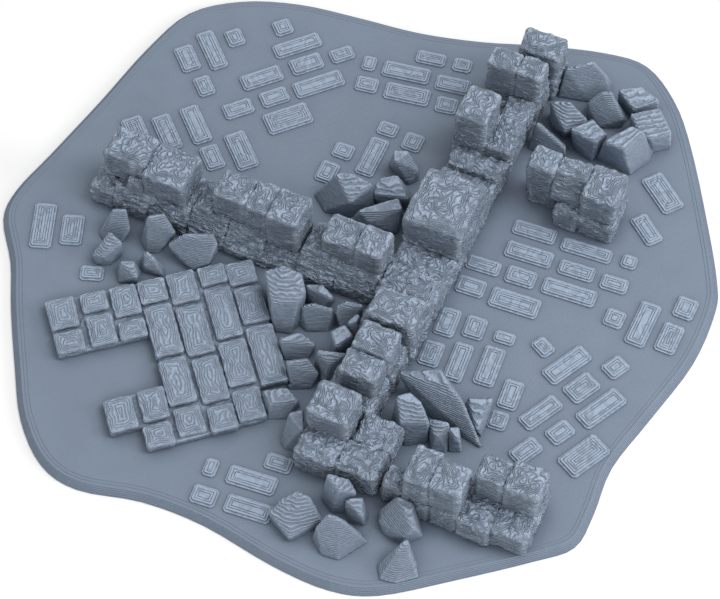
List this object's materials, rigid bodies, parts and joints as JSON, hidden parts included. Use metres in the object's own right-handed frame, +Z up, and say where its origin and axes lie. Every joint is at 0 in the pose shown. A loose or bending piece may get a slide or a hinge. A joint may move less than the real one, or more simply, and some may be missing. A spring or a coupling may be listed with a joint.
{
  "type": "miniature terrain ruin",
  "caption": "Ruined stone building on an irregular bevelled base: broken block walls, raised slab floor, low paving and fallen rubble.",
  "frame": {"origin": "middle of the bounding box at the underside of the base", "axes": "+Z up off the underside; +X along the base's longer side, towards the right stub's end; +Y towards the far end of the long wall"},
  "size_m": [0.1094, 0.1068, 0.0132],
  "materials": {
    "printed_stone": "blue-grey printed plastic, matte with a slight sheen, fine layer lines",
    "printed_base": "blue-grey printed plastic, matte with a slight sheen, diagonal top infill lines"
  },
  "bodies": {
    "root": {"base_plate": "printed_base", "floor_bed": "printed_stone", "floor_row_1": "printed_stone", "floor_row_2": "printed_stone", "floor_row_3": "printed_stone", "floor_row_4": "printed_stone", "floor_row_5": "printed_stone", "floor_row_6": "printed_stone", "floor_row_7": "printed_stone", "paving_north_west": "printed_stone", "paving_north": "printed_stone", "paving_north_corner": "printed_stone", "paving_east": "printed_stone", "paving_rim_far": "printed_stone", "paving_rim_near": "printed_stone", "paving_south_east": "printed_stone", "paving_middle": "printed_stone", "paving_west": "printed_stone", "paving_south_west": "printed_stone", "long_wall_footing_far": "printed_stone", "long_wall_footing_corner": "printed_stone", "long_wall_footing_middle": "printed_stone", "long_wall_footing_near": "printed_stone", "long_wall_footing_end": "printed_stone", "left_arm_footing_outer": "printed_stone", "left_arm_footing_inner": "printed_stone", "right_stub_footing": "printed_stone", "south_stub_footing": "printed_stone", "long_wall_block_1": "printed_stone", "long_wall_block_2": "printed_stone", "long_wall_block_3": "printed_stone", "long_wall_block_4": "printed_stone", "long_wall_block_5": "printed_stone", "long_wall_block_6": "printed_stone", "long_wall_block_7": "printed_stone", "long_wall_block_8": "printed_stone", "long_wall_block_9": "printed_stone", "long_wall_block_10": "printed_stone", "left_arm_block_1": "printed_stone", "left_arm_block_2": "printed_stone", "left_arm_block_3": "printed_stone", "left_arm_block_4": "printed_stone", "left_arm_block_5": "printed_stone", "left_arm_block_6": "printed_stone", "left_arm_block_7": "printed_stone", "right_stub_block_1": "printed_stone", "right_stub_block_2": "printed_stone", "right_stub_block_3": "printed_stone", "south_stub_block_1": "printed_stone", "south_stub_block_2": "printed_stone", "south_stub_block_3": "printed_stone", "south_stub_block_4": "printed_stone", "rubble_north_east": "printed_stone", "rubble_west": "printed_stone", "rubble_north": "printed_stone", "rubble_floor_edge": "printed_stone", "rubble_wall_foot": "printed_stone", "rubble_east": "printed_stone", "rubble_south": "printed_stone"}
  },
  "joints": []
}
